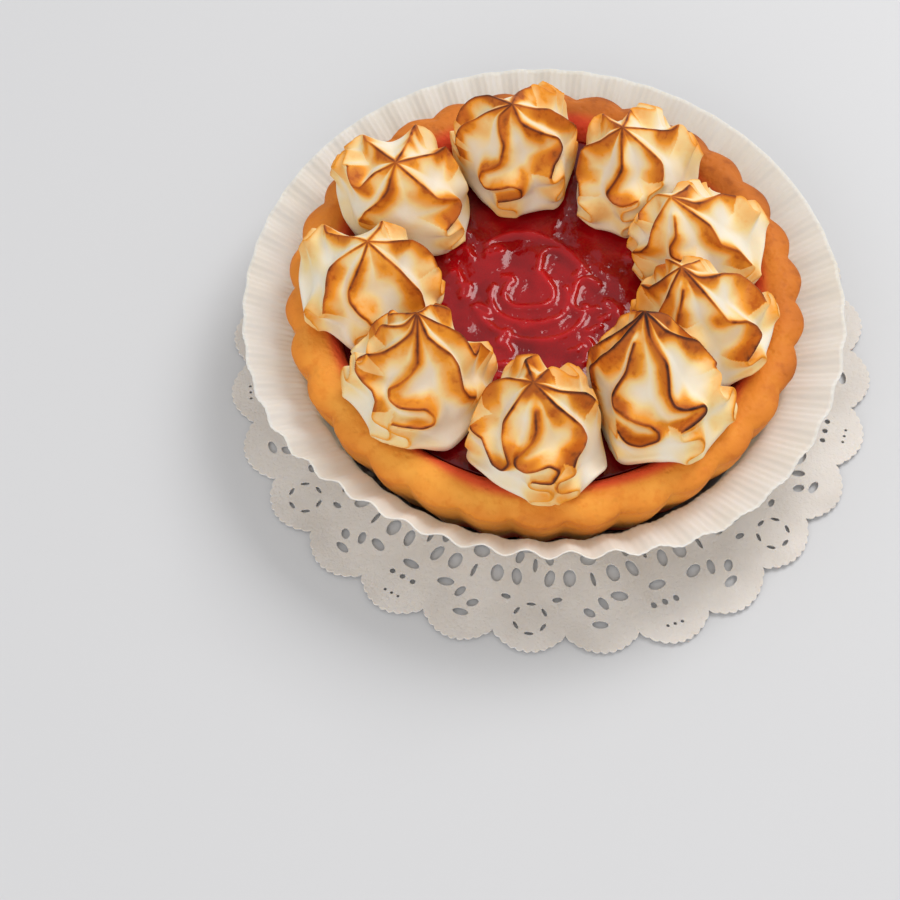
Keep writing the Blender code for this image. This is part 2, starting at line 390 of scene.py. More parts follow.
def mottle_group() -> bpy.types.NodeTree:
    """A mask of soft clouds: 0 in most places and 1 in the patches.

    Returns:
        The group, made once.
    """
    name = "mottle"
    if name in bpy.data.node_groups:
        return bpy.data.node_groups[name]
    number = "NodeSocketFloat"
    group = new_group(
        name, {"Scale": (number, 100.0), "Low": (number, 0.4), "High": (number, 0.6)}, "Mask", number
    )
    start, end = group.nodes["Group Input"], group.nodes["Group Output"]
    cloud = group.nodes.new(Noise.CLOUDS.value)
    cloud.inputs["Detail"].default_value = 4.0
    step = group.nodes.new("ShaderNodeMapRange")
    step.interpolation_type = "SMOOTHSTEP"
    for source, target in (
        (start.outputs["Vector"], cloud.inputs["Vector"]),
        (start.outputs["Scale"], cloud.inputs["Scale"]),
        (cloud.outputs["Fac"], step.inputs["Value"]),
        (start.outputs["Low"], step.inputs["From Min"]),
        (start.outputs["High"], step.inputs["From Max"]),
        (step.outputs["Result"], end.inputs["Mask"]),
    ):
        group.links.new(source, target)
    return group


def crumb_group() -> bpy.types.NodeTree:
    """A height for a crumbly or fibrous surface: fine clouds, pitted by small cells.

    Returns:
        The group, made once.
    """
    name = "crumb"
    if name in bpy.data.node_groups:
        return bpy.data.node_groups[name]
    number = "NodeSocketFloat"
    group = new_group(
        name, {"Grain": (number, 900.0), "Pores": (number, 400.0), "Pits": (number, 0.5)}, "Height", number
    )
    start, end = group.nodes["Group Input"], group.nodes["Group Output"]
    grain = group.nodes.new(Noise.CLOUDS.value)
    grain.inputs["Detail"].default_value = 6.0
    cells = group.nodes.new(Noise.CELLS.value)
    pit = group.nodes.new("ShaderNodeMapRange")
    pit.inputs["From Max"].default_value = 0.35
    sink = group.nodes.new("ShaderNodeMath")
    sink.operation = "MULTIPLY"
    total = group.nodes.new("ShaderNodeMath")
    total.operation = "ADD"
    for source, target in (
        (start.outputs["Vector"], grain.inputs["Vector"]),
        (start.outputs["Vector"], cells.inputs["Vector"]),
        (start.outputs["Grain"], grain.inputs["Scale"]),
        (start.outputs["Pores"], cells.inputs["Scale"]),
        (cells.outputs["Distance"], pit.inputs["Value"]),
        (pit.outputs["Result"], sink.inputs[0]),
        (start.outputs["Pits"], sink.inputs[1]),
        (grain.outputs["Fac"], total.inputs[0]),
        (sink.outputs["Value"], total.inputs[1]),
        (total.outputs["Value"], end.inputs["Height"]),
    ):
        group.links.new(source, target)
    return group


class Sheet:
    """A material under construction, with short calls for the nodes that the finishes use."""

    def __init__(self, name: str) -> None:
        """Makes the material and finds its shader.

        Args:
            name: Name of the material.
        """
        self.material = bpy.data.materials.new(name)
        self.material.use_nodes = True
        self.nodes = self.material.node_tree.nodes
        self.links = self.material.node_tree.links
        self.shader = self.nodes["Principled BSDF"]
        self.coordinates = self.nodes.new("ShaderNodeTexCoord").outputs["Object"]

    def set(self, values: dict[str, float | tuple[float, ...]]) -> None:
        """Sets plain numbers and colours on the shader.

        Args:
            values: Value of each socket by its name.
        """
        for title, value in values.items():
            self.shader.inputs[title].default_value = value

    def attribute(self, name: str) -> Socket:
        """Reads a number that was painted on the mesh.

        Args:
            name: Name of the attribute.

        Returns:
            The number's socket.
        """
        node = self.nodes.new("ShaderNodeAttribute")
        node.attribute_name = name
        return node.outputs["Fac"]

    def group(self, tree: bpy.types.NodeTree, **values: float) -> Socket:
        """Places a shared group on the object's coordinates.

        Args:
            tree: The node group.
            **values: Input name and value.

        Returns:
            The group's output.
        """
        node = self.nodes.new("ShaderNodeGroup")
        node.node_tree = tree
        self.links.new(self.coordinates, node.inputs["Vector"])
        for title, value in values.items():
            node.inputs[title.title()].default_value = value
        return node.outputs[0]

    def maths(self, operation: str, a: Socket, b: Socket | float) -> Socket:
        """One clamped sum, product or the like.

        Args:
            operation: Blender's name of it, such as MULTIPLY.
            a: First value.
            b: Second value, a socket or a number.

        Returns:
            The result.
        """
        node = self.nodes.new("ShaderNodeMath")
        node.operation = operation
        node.use_clamp = True
        self.links.new(a, node.inputs[0])
        if isinstance(b, (int, float)):
            node.inputs[1].default_value = b
        else:
            self.links.new(b, node.inputs[1])
        return node.outputs["Value"]

    def ramp(self, value: Socket, stops: Iterable[tuple[float, Colour]]) -> Socket:
        """Colours along a value.

        Args:
            value: A number from 0 to 1.
            stops: Position and colour of each stop, in order.

        Returns:
            The colour.
        """
        node = self.nodes.new("ShaderNodeValToRGB")
        elements = node.color_ramp.elements
        ready = len(elements)
        for index, (position, colour) in enumerate(stops):
            element = elements[index] if index < ready else elements.new(position)
            element.position = position
            element.color = (*colour, 1.0)
        self.links.new(value, node.inputs["Fac"])
        return node.outputs["Color"]

    def mix(self, share: Socket, base: Socket, colour: Colour) -> Socket:
        """Blends a base colour towards a fixed one.

        Args:
            share: How much of the fixed colour shows.
            base: The colour underneath.
            colour: The fixed colour.

        Returns:
            The blended colour.
        """
        node = self.nodes.new("ShaderNodeMix")
        node.data_type = "RGBA"
        self.links.new(share, node.inputs["Factor"])
        self.links.new(base, node.inputs["A"])
        node.inputs["B"].default_value = (*colour, 1.0)
        return node.outputs["Result"]

    def bump(self, height: Socket, depth: float) -> None:
        """Roughens the surface by a height.

        Args:
            height: The height, from 0 to about 1.
            depth: Depth of the relief, in metres.
        """
        node = self.nodes.new("ShaderNodeBump")
        node.inputs["Distance"].default_value = depth
        self.links.new(height, node.inputs["Height"])
        self.links.new(node.outputs["Normal"], self.shader.inputs["Normal"])

    def colour(self, socket: Socket) -> None:
        """Feeds the shader's base colour."""
        self.links.new(socket, self.shader.inputs["Base Color"])


# Finishes


@dataclass(frozen=True)
class BakedPastry:
    """Golden shortcrust: pale where it faced away from the heat, browner at edges, finely pored, with
    painted light that makes the lower wall paler.
    """

    # The painted number holds browning, and painted light that makes the lower outer wall paler.
    browning_and_wall_light: str = "bake_and_wall_light"
    stain: str = "stain"
    roughness: float = 0.6
    crumb_depth: float = 0.28 * MM
    cloud_bake: float = 0.14
    speckle_bake: float = 0.10
    stain_colour: Colour = (0.80, 0.070, 0.034)
    browns: tuple[tuple[float, Colour], ...] = (
        (0.0, (0.92, 0.42, 0.066)),
        (0.14, (0.90, 0.385, 0.056)),
        (0.32, (0.79, 0.265, 0.030)),
        (0.55, (0.64, 0.18, 0.020)),
        (0.8, (0.36, 0.085, 0.010)),
        (1.0, (0.13, 0.030, 0.006)),
    )

    def material(self) -> bpy.types.Material:
        """Builds the material.

        Returns:
            The pastry's material.
        """
        sheet = Sheet("baked_pastry")
        sheet.set({"Roughness": self.roughness, "Specular IOR Level": 0.2})
        speckle = sheet.group(mottle_group(), scale=420.0, low=0.50, high=0.72)
        cloud = sheet.group(mottle_group(), scale=75.0, low=0.35, high=0.75)
        warm = sheet.maths("MULTIPLY", cloud, self.cloud_bake)
        spots = sheet.maths("MULTIPLY", speckle, self.speckle_bake)
        # Browning plus the lower wall's painted light, read from the mesh.
        bake_and_wall_light = sheet.maths("ADD", sheet.attribute(self.browning_and_wall_light), warm)
        golden = sheet.ramp(sheet.maths("ADD", bake_and_wall_light, spots), self.browns)
        sheet.colour(sheet.mix(sheet.attribute(self.stain), golden, self.stain_colour))
        sheet.bump(sheet.group(crumb_group(), grain=700.0, pores=520.0, pits=0.6), self.crumb_depth)
        return sheet.material


@dataclass(frozen=True)
class BerryJelly:
    """Set berry jelly: a dark, wet red that shines, paler where it lies thin over a string, and painted
    darker towards its edge, under and between the rosettes, as painted shade.
    """

    # The painted number holds thinness, and painted shade near the jelly's edge.
    thinness_and_edge_shade: str = "thin"
    roughness: float = 0.07
    cloud_share: float = 0.25
    ripple_depth: float = 0.12 * MM
    # The darkest stop is the red that the edge's painted shade reaches.
    reds: tuple[tuple[float, Colour], ...] = (
        (0.0, (0.09, 0.0010, 0.003)),
        (0.4, (0.29, 0.0012, 0.004)),
        (1.0, (0.54, 0.004, 0.008)),
    )

    def material(self) -> bpy.types.Material:
        """Builds the material.

        Returns:
            The filling's material.
        """
        sheet = Sheet("berry_jelly")
        sheet.set({"Roughness": self.roughness, "Specular IOR Level": 0.38})
        sheet.set({"Coat Weight": 0.05, "Coat Roughness": 0.03})
        cloud = sheet.group(mottle_group(), scale=170.0, low=0.35, high=0.7)
        cloudy = sheet.maths("MULTIPLY", cloud, self.cloud_share)
        sheet.colour(sheet.ramp(sheet.maths("ADD", sheet.attribute(self.thinness_and_edge_shade), cloudy), self.reds))
        sheet.bump(sheet.group(mottle_group(), scale=260.0, low=0.3, high=0.8), self.ripple_depth)
        return sheet.material


@dataclass(frozen=True)
class TorchedMeringue:
    """Whipped meringue: cream in the valleys, amber on the flanks and dark brown along the crests."""

    toast: str = "toast"
    roughness: float = 0.58
    freckle_share: float = 0.22
    crumb_depth: float = 0.05 * MM
    browns: tuple[tuple[float, Colour], ...] = (
        (0.0, (0.85, 0.78, 0.645)),
        (0.16, (0.89, 0.67, 0.31)),
        (0.36, (0.85, 0.33, 0.026)),
        (0.55, (0.50, 0.115, 0.006)),
        (0.76, (0.15, 0.030, 0.005)),
        (1.0, (0.030, 0.009, 0.005)),
    )

    def material(self) -> bpy.types.Material:
        """Builds the material.

        Returns:
            The rosettes' material.
        """
        sheet = Sheet("torched_meringue")
        sheet.set({"Roughness": self.roughness, "Specular IOR Level": 0.22, "Subsurface Weight": 0.12})
        sheet.set({"Subsurface Radius": (1.0, 0.6, 0.3), "Subsurface Scale": 1.2 * MM})
        freckle = sheet.group(mottle_group(), scale=650.0, low=0.45, high=0.75)
        toast = sheet.attribute(self.toast)
        uneven = sheet.maths("MULTIPLY", sheet.maths("MULTIPLY", freckle, toast), self.freckle_share)
        sheet.colour(sheet.ramp(sheet.maths("ADD", toast, uneven), self.browns))
        sheet.bump(sheet.group(crumb_group(), grain=900.0, pores=900.0, pits=0.25), self.crumb_depth)
        return sheet.material


@dataclass(frozen=True)
class ThinPaper:
    """Greaseproof or lace paper: warm white with a faint fibre, and translucent when thin."""

    name: str
    pale: Colour
    dull: Colour
    fibre_depth: float
    see_through: float = 0.3 * MM
    roughness: float = 0.75

    def material(self) -> bpy.types.Material:
        """Builds the material.

        Returns:
            The paper's material.
        """
        sheet = Sheet(self.name)
        sheet.set({"Roughness": self.roughness, "Specular IOR Level": 0.25, "Subsurface Weight": 1.0})
        sheet.set({"Subsurface Radius": (1.0, 0.9, 0.75), "Subsurface Scale": self.see_through})
        cloud = sheet.group(mottle_group(), scale=60.0, low=0.3, high=0.8)
        sheet.colour(sheet.ramp(cloud, ((0.0, self.pale), (1.0, self.dull))))
        sheet.bump(sheet.group(crumb_group(), grain=1400.0, pores=1200.0, pits=0.3), self.fibre_depth)
        return sheet.material


# The tart's own plan


@dataclass(frozen=True)
class TartPlan:
    """Places and heights that the pieces share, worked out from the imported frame."""

    x: float
    y: float
    base_z: float
    crown_z: float
    gap: float = 0.3 * MM
    rim_radius: float = 50.0 * MM
    crown_radius: float = 45.6 * MM
    mouth_radius: float = 40.2 * MM
    rim_drop: float = 1.9 * MM
    mouth_drop: float = 4.3 * MM
    filling_drop: float = 4.6 * MM
    filling_dome: float = 0.5 * MM

    @classmethod
    def from_frame(cls) -> "TartPlan":
        """Reads the tart's centre from the round filling and its heights from the crust.

        Returns:
            The plan.
        """
        low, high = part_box("berry_filling")
        crust_low, crust_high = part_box("crust")
        return cls((low.x + high.x) / 2, (low.y + high.y) / 2, crust_low.z, crust_high.z)

    @property
    def rim_z(self) -> float:
        """Height of the rim's outer edge."""
        return self.crown_z - self.rim_drop

    @property
    def filling_z(self) -> float:
        """Height of the filling where it meets the crust."""
        return self.crown_z - self.filling_drop

    def filling_level(self, radius: np.ndarray) -> np.ndarray:
        """Height of the filling's low dome at a distance from the tart's centre."""
        return self.filling_z + self.filling_dome * (1 - (radius / self.mouth_radius) ** 2)

    def seat(self, x: np.ndarray, y: np.ndarray) -> np.ndarray:
        """Height of what carries the meringue.

        Args:
            x: Distance right of the tart's centre.
            y: Distance behind the tart's centre.

        Returns:
            The height of the filling, or of the rim's inner slope and crown.
        """
        radius = np.hypot(x, y)
        slope = smoothstep(self.mouth_radius - 2.4 * MM, self.crown_radius - 2.2 * MM, radius)
        level = self.filling_level(radius) + self.gap
        return level + (self.crown_z + self.gap - level) * slope

    def placed(self, points: np.ndarray) -> np.ndarray:
        """Moves points from the tart's own centre to the frame's origin."""
        return points + np.array([self.x, self.y, 0.0])


@dataclass(frozen=True)
class PastryShell:
    """The baked shell: a fluted wall, a rounded rim and a cavity for the filling."""

    plan: TartPlan
    finish: BakedPastry = BakedPastry()
    flutes: int = 30
    flute_columns: int = 18
    flute_depth: float = 1.5 * MM
    flute_wander: float = 0.016
    flute_unevenness: float = 0.25
    wall_flutes: float = 0.75
    wall_sharpness: float = 0.3
    first_valley: float = math.radians(157.3)
    base_radius: float = 43.4 * MM
    cavity_radius: float = 34.0 * MM
    cavity_z: float = 6.6 * MM
    spill_angle: float = math.radians(-90.0)
    spill_width: float = math.radians(38.0)
    spill_strength: float = 0.85
    pale_heading: float = math.radians(-112)
    bake_level: float = 0.37
    pale_side: float = 0.23
    edge_bake: float = 0.12
    # Painted light: how much paler the lower outer wall is painted, for light that comes through the case's
    # paper.
    wall_painted_light: float = 0.16
    bake_clouds: Layers = ((0.09, 9 * MM, 4), (0.05, 3 * MM, 5))
    lumps: Layers = ((0.16, 7 * MM, 1), (0.09, 2.6 * MM, 2), (0.035, 1.0 * MM, 3))
    rows: int = 110

    def profile(self) -> np.ndarray:
        """Half section from the underside's edge up over the rim and down into the cavity.

        Returns:
            Rows of radius and height.
        """
        plan = self.plan
        crown, rim = plan.crown_z, plan.rim_z
        return smooth_curve(
            (
                (self.base_radius - 1.6 * MM, plan.base_z),
                (self.base_radius - 0.3 * MM, plan.base_z + 0.5 * MM),
                (self.base_radius + 0.4 * MM, plan.base_z + 2.4 * MM),
                (plan.rim_radius - 2.1 * MM, rim - 8.2 * MM),
                (plan.rim_radius - 0.4 * MM, rim - 1.6 * MM),
                (plan.rim_radius - 0.2 * MM, rim + 0.1 * MM),
                (plan.rim_radius - 1.5 * MM, rim + 1.2 * MM),
                (plan.crown_radius, crown - 0.05 * MM),
                (plan.crown_radius - 3.2 * MM, crown - 1.2 * MM),
                (plan.mouth_radius, crown - plan.mouth_drop),
                (plan.mouth_radius - 1.6 * MM, crown - plan.mouth_drop - 4.5 * MM),
                (self.cavity_radius, self.cavity_z),
            ),
            self.rows,
        )

    def fluted(self, points: np.ndarray) -> np.ndarray:
        """Draws the outer side in between the flutes, each a little unlike the next.

        Args:
            points: Points of the round shell.

        Returns:
            The same points, fluted.
        """
        radius, angle = polar(points)
        share = points[:, 2] / self.plan.rim_z
        middle = self.base_radius - 4 * MM + (self.plan.crown_radius - self.base_radius + 3 * MM) * share
        outside = smoothstep(0, 4 * MM, radius - middle)
        shift = self.flute_wander * on_circle(angle, 3.0, 22)
        arch = np.abs(np.cos(self.flutes * (angle + shift - self.first_valley) / 2 + math.pi / 2))
        arch = arch ** (1 + self.wall_sharpness * smoothstep(0.95, 0.6, share))
        uneven = 1 + self.flute_unevenness * on_circle(angle, 8.0, 14)
        at_level = self.wall_flutes + (1 - self.wall_flutes) * smoothstep(0.6, 0.95, share)
        depth = self.flute_depth * uneven * at_level
        shrink = 1 - depth * outside * (1 - arch) / np.maximum(radius, MM)
        return np.stack([points[:, 0] * shrink, points[:, 1] * shrink, points[:, 2]], axis=1)

    def build(self) -> bpy.types.Object:
        """Turns the shell, flutes it, roughens it and paints how far it is baked, with painted light on its
        lower wall.

        Returns:
            The crust.
        """
        section = [(0.0, self.plan.base_z), *map(tuple, self.profile()), (0.0, self.cavity_z)]
        bm = turned(section, self.flutes * self.flute_columns)
        bm.transform(Matrix.Rotation(self.first_valley, 4, "Z"))
        mesh = mesh_of("crust_look", bm)
        points = self.fluted(points_of(mesh))
        move_points(mesh, points)
        radius, _ = polar(points)
        free = smoothstep(self.cavity_radius, self.plan.mouth_radius, radius)
        points = points + normals_of(mesh) * (layered(points, self.lumps) * MM * free)[:, None]
        paint(mesh, self.finish.browning_and_wall_light, self.baked(points))
        paint(mesh, self.finish.stain, self.stained(points))
        move_points(mesh, self.plan.placed(points))
        return place("crust", mesh, self.finish.material())

    def baked(self, points: np.ndarray) -> np.ndarray:
        """How brown each point is, from 0 to 1, with painted light that makes the lower wall paler.

        Args:
            points: Points of the finished shell, from the tart's centre.

        Returns:
            One number for each point.
        """
        radius, angle = polar(points)
        pale = self.pale_side * np.cos(angle - self.pale_heading)
        edge = smoothstep(self.plan.rim_radius - 3.4 * MM, self.plan.rim_radius, radius)
        wall = smoothstep(self.plan.rim_z, self.plan.rim_z - 6 * MM, points[:, 2])
        # The lower wall is painted paler here: painted light, not browning.
        bake_and_wall_light = self.bake_level - pale + self.edge_bake * edge - self.wall_painted_light * wall
        return np.clip(bake_and_wall_light + layered(points, self.bake_clouds), 0, 1)

    def stained(self, points: np.ndarray) -> np.ndarray:
        """How much jelly has soaked into each point of the rim's inner slope.

        Args:
            points: Points of the finished shell, from the tart's centre.

        Returns:
            One number from 0 to 1 for each point.
        """
        radius, angle = polar(points)
        front = np.exp(-((turn_from(self.spill_angle, angle) / self.spill_width) ** 2))
        reach = self.plan.mouth_radius + (2.0 + 1.8 * on_circle(angle, 6.0, 16) + 2.6 * front) * MM
        return self.spill_strength * smoothstep(reach + 1.5 * MM, reach - 1.2 * MM, radius)


@dataclass(frozen=True)
class BerryFilling:
    """The berry jelly, with the strings and swirls that a spoon leaves in it."""

    plan: TartPlan
    finish: BerryJelly = BerryJelly()
    steps: int = 288
    rows: int = 96
    cavity_radius: float = 33.5 * MM
    cavity_z: float = 6.9 * MM
    string_height: float = 0.55 * MM
    string_width: float = 0.70 * MM
    swirls: tuple[tuple[float, float, float, float, float], ...] = (
        (-3.4, 2.4, 4.6, 150, 430),
        (-3.0, 1.6, 7.4, 170, 372),
        (-2.6, 1.0, 10.6, 205, 350),
        (-4.0, 3.0, 12.4, 20, 130),
        (2.0, 8.0, 4.0, -30, 190),
        (8.5, 1.5, 3.6, 60, 300),
    )
    swirl_ripple: float = 0.5
    loose_strings: int = 26
    string_step: float = 0.2
    still_border: tuple[float, float] = (22 * MM, 27 * MM)
    swell: Layers = ((0.25, 6 * MM, 7), (0.12, 2.2 * MM, 8))
    sunk: float = 0.15 * MM
    seed: int = 5

    def strings(self) -> np.ndarray:
        """Points along every string: the spoon's swirls, then short loose ones.

        Returns:
            Rows of x and y from the tart's centre.
        """
        found = []
        for x, y, radius, start, end in self.swirls:
            count = int(radius * math.radians(end - start) / self.string_step)
            angle = np.radians(np.linspace(start, end, count))
            wave = radius + self.swirl_ripple * np.sin(3 * angle + x)
            found.append(np.stack([x + wave * np.cos(angle), y + wave * np.sin(angle)], axis=1))
        rng = np.random.default_rng(self.seed)
        for _ in range(self.loose_strings):
            heading = rng.uniform(0, TAU)
            out = rng.uniform(8, 24)
            place_at = np.array([out * math.cos(heading), 2 + out * math.sin(heading)])
            turn = rng.uniform(0, TAU)
            bend = rng.uniform(-0.9, 0.9)
            steps = np.arange(0, rng.uniform(3, 9), self.string_step)
            angle = turn + bend * steps + 0.6 * np.sin(steps * 1.7)
            run = np.stack([np.cos(angle), np.sin(angle)], axis=1).cumsum(axis=0)
            found.append(place_at + run * self.string_step)
        return np.concatenate(found) * MM

    def build(self) -> bpy.types.Object:
        """Turns the filling, then raises its strings and hollows.

        Returns:
            The filling.
        """
        plan = self.plan
        top = np.linspace(plan.mouth_radius - 0.35 * MM, 0, self.rows)
        section = [(0.0, self.cavity_z), (self.cavity_radius, self.cavity_z)]
        section += [(plan.mouth_radius - 2.2 * MM, plan.crown_z - plan.mouth_drop - 4.5 * MM)]
        section += [(float(radius), plan.filling_z) for radius in top]
        mesh = mesh_of("berry_filling_look", turned(section, self.steps))
        points = points_of(mesh)
        above = points[:, 2] > plan.filling_z - 0.5 * MM
        radius, _ = polar(points)
        tree = tree_of(np.pad(self.strings(), ((0, 0), (0, 1))).tolist())
        distance = np.array([tree.find((x, y, 0))[2] for x, y in points[:, :2].tolist()])
        thick = self.string_width * (1 + 0.35 * clouds(points, 4 * MM, 6))
        string = np.exp(-((distance / thick) ** 2))
        inner = 1 - smoothstep(*self.still_border, radius)
        swell = layered(points, self.swell)
        relief = (self.string_height * string + swell * MM - self.sunk) * inner
        height = plan.filling_level(radius) + relief
        points[:, 2] = np.where(above, height, points[:, 2])
        # Outside the still middle the value falls to 0, the darkest red: painted shade under and between the
        # rosettes.
        paint(mesh, self.finish.thinness_and_edge_shade, np.clip(0.30 + 0.35 * string + 0.5 * swell, 0, 1) * inner)
        move_points(mesh, plan.placed(points))
        return place("berry_filling", mesh, self.finish.material())


@dataclass(frozen=True)
class Ridge:
    """One ridge of a rosette, as a run of legs down the mound.

    Each leg has a length in millimetres and a bearing in degrees from straight down, positive when
    it swings anticlockwise seen from above. The heading is the ridge's compass angle at the peak,
    and start is the share of the way down at which it begins.
    """

    heading: float
    legs: Legs = ()
    start: float = 0.0


@dataclass(frozen=True)
class Rosette:
    """One piped rosette. Lengths are millimetres from the tart's centre."""

    number: int
    x: float
    y: float
    radius: float
    lean_x: float
    lean_y: float
    peak: float
    breadth: float
    ridges: tuple[Ridge, ...]
    char: float = 1.0
    amber: float = 1.0

    @property
    def centre(self) -> np.ndarray:
        """The middle of the base, in metres from the tart's centre."""
        return np.array([self.x, self.y]) * MM


@dataclass(frozen=True)
class RosetteRing:
    """The ring of rosettes: each a peaked mound whose ridges run straight from the peak, then fold."""

    plan: TartPlan
    rosettes: tuple[Rosette, ...]
    finish: TorchedMeringue = TorchedMeringue()
    steps: int = 288
    rows: int = 130
    ridge_depth: float = 4.7
    ridge_share: float = 0.54
    ridge_width: float = 2.3
    crest_round: float = 0.18
    base_depth: float = 0.26
    valley_rounds: int = 30
    flank_rounds: int = 16
    spacing: float = 62.0
    plain_legs: Legs = ((10, 0), (4, -40), (4, 70), (3, 0))
    folds: Legs = ((1.5, 0), (3.5, 82), (1.5, 20), (1.5, -20), (3.5, -82))
    fold_toast: float = 0.35
    crest_width: float = 0.38
    crest_toast: float = 0.47
    crest_char: float = 0.32
    flank_toast: float = 0.52
    flank_fade: float = 1.4
    darkest_flank: float = 0.52
    blush: float = 0.07
    corner_length: float = 2.0
    start_length: float = 1.5
    start_sink: float = 1.4
    torch: tuple[float, float, float] = (0.04, -0.45, 0.89)
    tuck: float = 0.14
    tuck_top: float = 0.16
    rounding: float = 1.1
    lean_power: float = 1.5
    squeeze_start: float = 0.78
    nominal_height: float = 22.0
    outline_points: int = 600
    step_length: float = 0.12

    def girth(self, level: np.ndarray, breadth: float) -> np.ndarray:
        """Share of a rosette's radius at a level from 0, its base, to 1, its peak."""
        tucked = self.tuck * np.maximum(0.0, 1 - level / self.tuck_top) ** 2
        return (1 - level**breadth) ** self.rounding * (1 - tucked)

    def meridian(self, rosette: Rosette) -> np.ndarray:
        """The mound's outline from its peak down to its base, evenly spaced, in millimetres.

        Args:
            rosette: The rosette.

        Returns:
            Rows of radius and height.
        """
        level = np.linspace(1, 0, self.outline_points)
        radius = rosette.radius * self.girth(level, rosette.breadth)
        return evenly(np.stack([radius, self.nominal_height * level], axis=1), self.rows)

    def crest(self, outline: np.ndarray, ridge: Ridge, swing: float) -> np.ndarray:
        """Follows one ridge down the mound, leg by leg, then in small folds to the base.

        Args:
            outline: The mound's outline from peak to base.
            ridge: The ridge.
            swing: 1 or -1, the side to which its folds swing first.

        Returns:
            Rows of x, y, height, how far the ridge has sunk there and how strongly it is toasted.
        """
        legs = [*(ridge.legs or self.plain_legs)]
        toasted_length = sum(run for run, _ in legs)
        legs += [(run, swing * bearing) for run, bearing in self.folds] * 3
        bearings = np.concatenate([np.full(round(run / self.step_length), bearing) for run, bearing in legs])
        corner = np.hanning(round(self.corner_length / self.step_length))
        half = len(corner) // 2
        padded = np.pad(bearings, (half, len(corner) - 1 - half), mode="edge")
        bearings = np.radians(np.convolve(padded, corner / corner.sum(), mode="valid"))
        length = float(np.hypot(*np.diff(outline, axis=0).T).sum())
        shares = np.linspace(0, length, len(outline))
        along = ridge.start * length
        angle = math.radians(ridge.heading)
        found = []
        for step, bearing in enumerate(bearings.tolist()):
            travelled = step * self.step_length
            radius = max(0.3, float(np.interp(along, shares, outline[:, 0])))
            height = float(np.interp(along, shares, outline[:, 1]))
            sunk = self.start_sink * max(0.0, 1 - travelled / self.start_length) ** 2 * (ridge.start > 0)
            strength = 1.0 if travelled < toasted_length else self.fold_toast
            found.append((radius * math.cos(angle), radius * math.sin(angle), height, sunk, strength))
            angle += math.sin(bearing) * self.step_length / radius
            along += math.cos(bearing) * self.step_length
            if along > length:
                break
        return np.array(found)

    def all_ridges(self, rosette: Rosette) -> list[Ridge]:
        """A rosette's own ridges, and plain ones in the gaps between them.

        Args:
            rosette: The rosette.

        Returns:
            The ridges.
        """
        found = list(rosette.ridges)
        headings = sorted(ridge.heading for ridge in found)
        for start, end in zip(headings, headings[1:] + [headings[0] + 360]):
            extra = round((end - start) / self.spacing) - 1
            found += [Ridge(start + (end - start) * (i + 1) / (extra + 1)) for i in range(extra)]
        return found

    def nearest_crest(self, points: np.ndarray, outline: np.ndarray, rosette: Rosette) -> np.ndarray:
        """Looks up the nearest ridge to every point.

        Args:
            points: Points of the smooth mound, in millimetres.
            outline: The mound's outline from peak to base.
            rosette: The rosette.

        Returns:
            For each point its distance to the ridge in millimetres, how strongly that ridge is
            toasted and how far the point lies on the ridge's torched side, from -1 to 1.
        """
        rng = np.random.default_rng(rosette.number)
        ridges = self.all_ridges(rosette)
        swings = rng.choice([-1.0, 1.0], len(ridges)).tolist()
        crests = np.concatenate([self.crest(outline, *pair) for pair in zip(ridges, swings)])
        tree = tree_of(crests[:, :3].tolist())
        nearest = [tree.find(row) for row in points.tolist()]
        away = np.array([found[2] for found in nearest])
        crest = crests[[found[1] for found in nearest]]
        facing = (points - crest[:, :3]) @ np.array(self.torch) / np.maximum(away, 1e-6)
        return np.stack([np.hypot(away, crest[:, 3]), crest[:, 4], facing], axis=1)

    def squeezed(self, flat: np.ndarray, rosette: Rosette) -> np.ndarray:
        """Presses a rosette back to its own side of the planes between it and its neighbours.

        Args:
            flat: Rows of x and y from the tart's centre, in metres.
            rosette: The rosette.

        Returns:
            The pressed rows.
        """
        count = len(self.rosettes)
        for other in (self.rosettes[rosette.number - 2], self.rosettes[rosette.number % count]):
            towards = other.centre - rosette.centre
            half = np.linalg.norm(towards) / 2 - self.plan.gap
            towards = towards / np.linalg.norm(towards)
            reach = (flat - rosette.centre) @ towards
            start = self.squeeze_start * half
            room = half - start
            pressed = start + room * (1 - np.exp(-np.maximum(reach - start, 0) / room))
            flat = flat + towards * (np.where(reach > start, pressed, reach) - reach)[:, None]
        return flat

    def build_one(self, rosette: Rosette, material: bpy.types.Material) -> None:
        """Turns one mound, cuts its valleys, leans it, seats it and paints its toasting.

        Args:
            rosette: The rosette.
            material: The meringue's material.
        """
        outline = self.meridian(rosette)
        section = [(0.0, 0.0), (0.5 * outline[-1, 0], 0.0), *map(tuple, outline[::-1])]
        mesh = mesh_of(f"rosette_{rosette.number}_look", turned(section, self.steps))
        points = points_of(mesh)
        radius, _ = polar(points)
        level = points[:, 2] / self.nominal_height
        side = (level > 1e-6) | (radius > 0.98 * outline[-1, 0])
        crests = self.nearest_crest(points, outline, rosette)
        distance = crests[:, 0]

